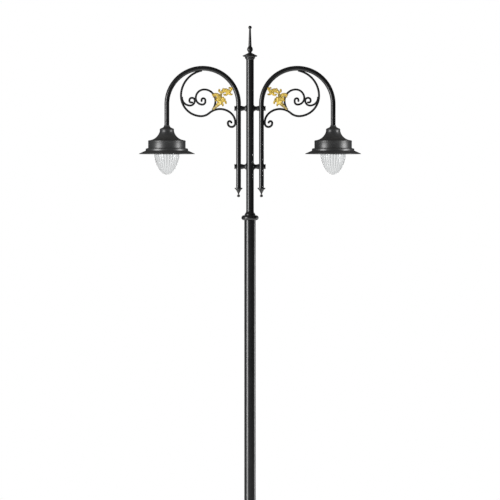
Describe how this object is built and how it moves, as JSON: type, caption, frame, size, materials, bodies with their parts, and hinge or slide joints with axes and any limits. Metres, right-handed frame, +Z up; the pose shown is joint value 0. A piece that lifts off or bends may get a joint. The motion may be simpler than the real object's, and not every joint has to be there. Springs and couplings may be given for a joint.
{
  "type": "street lamp post",
  "caption": "Tall stepped street lamp post with swan-neck scroll arms, gilt leaves and hanging bell lanterns with hinged glass bowls.",
  "frame": {"origin": "on the ground at the middle of the foot", "axes": "+Z up along the shafts, +X along the arms towards the right lantern, -Y is the front, where the service door and the bowl latches are"},
  "size_m": [2.2226, 0.56, 5.5],
  "materials": {
    "black_tube": "satin",
    "black_casting": "satin",
    "gold_paint": "satin metallic",
    "clear_glass": "clear, fluted",
    "zinc_steel": "galvanised",
    "gear_aluminium": "anodised",
    "white_paint": "matt",
    "grey_plastic": "moulded",
    "cable_jacket": "matt"
  },
  "bodies": {
    "post": {"base_plate": "zinc_steel", "base_cover": "black_casting", "base_column": "black_casting", "door_hinge_pin": "zinc_steel", "fuse_box": "grey_plastic", "lower_shaft": "black_tube", "shaft_collar": "black_casting", "upper_shaft": "black_tube", "top_cap": "black_casting", "finial": "black_casting", "upper_tie_rod": "zinc_steel", "lower_tie_rod": "zinc_steel", "left_arm": "black_tube", "left_arm_tip": "black_casting", "left_outer_scroll": "black_tube", "left_inner_scroll": "black_tube", "left_small_scroll": "black_tube", "left_leaf": "gold_paint", "left_lantern_cable": "cable_jacket", "left_upper_spacer": "black_casting", "left_upper_end_cap": "black_casting", "left_lower_spacer": "black_casting", "left_lower_end_cap": "black_casting", "left_lantern_neck": "black_casting", "left_hood": "black_tube", "left_drum": "black_tube", "left_brim": "black_tube", "left_gear_tray": "zinc_steel", "left_driver": "gear_aluminium", "left_led_module": "gear_aluminium", "left_reflector": "white_paint", "left_bowl_hinge_pin": "zinc_steel", "right_arm": "black_tube", "right_arm_tip": "black_casting", "right_outer_scroll": "black_tube", "right_inner_scroll": "black_tube", "right_small_scroll": "black_tube", "right_leaf": "gold_paint", "right_lantern_cable": "cable_jacket", "right_upper_spacer": "black_casting", "right_upper_end_cap": "black_casting", "right_lower_spacer": "black_casting", "right_lower_end_cap": "black_casting", "right_lantern_neck": "black_casting", "right_hood": "black_tube", "right_drum": "black_tube", "right_brim": "black_tube", "right_gear_tray": "zinc_steel", "right_driver": "gear_aluminium", "right_led_module": "gear_aluminium", "right_reflector": "white_paint", "right_bowl_hinge_pin": "zinc_steel"},
    "access_door": {"access_door": "black_casting"},
    "door_lock": {"door_lock": "zinc_steel"},
    "left_bowl_frame": {"left_bowl_ring": "black_tube", "left_bowl": "clear_glass"},
    "left_bowl_latch": {"left_bowl_latch": "zinc_steel"},
    "right_bowl_frame": {"right_bowl_ring": "black_tube", "right_bowl": "clear_glass"},
    "right_bowl_latch": {"right_bowl_latch": "zinc_steel"}
  },
  "joints": [
    {"name": "access_door_hinge", "type": "hinge", "parent": "post", "child": "access_door", "pos_m": [0.07524, -0.05466, 0.385], "axis": [0, 0, 1], "range_deg": [0, 110]},
    {"name": "door_lock_turn", "type": "hinge", "parent": "access_door", "child": "door_lock", "pos_m": [-0.0461, -0.07378, 0.385], "axis": [-0.5299, -0.848, 0], "range_deg": [0, 90]},
    {"name": "left_bowl_hinge", "type": "hinge", "parent": "post", "child": "left_bowl_frame", "pos_m": [-0.8313, 0.165, 4.234], "axis": [1, 0, 0], "range_deg": [0, 90]},
    {"name": "left_bowl_latch_turn", "type": "hinge", "parent": "post", "child": "left_bowl_latch", "pos_m": [-0.8313, -0.171, 4.234], "axis": [0, 0, 1], "range_deg": [0, 90]},
    {"name": "right_bowl_hinge", "type": "hinge", "parent": "post", "child": "right_bowl_frame", "pos_m": [0.8313, 0.165, 4.234], "axis": [1, 0, 0], "range_deg": [0, 90]},
    {"name": "right_bowl_latch_turn", "type": "hinge", "parent": "post", "child": "right_bowl_latch", "pos_m": [0.8313, -0.171, 4.234], "axis": [0, 0, 1], "range_deg": [0, 90]}
  ]
}
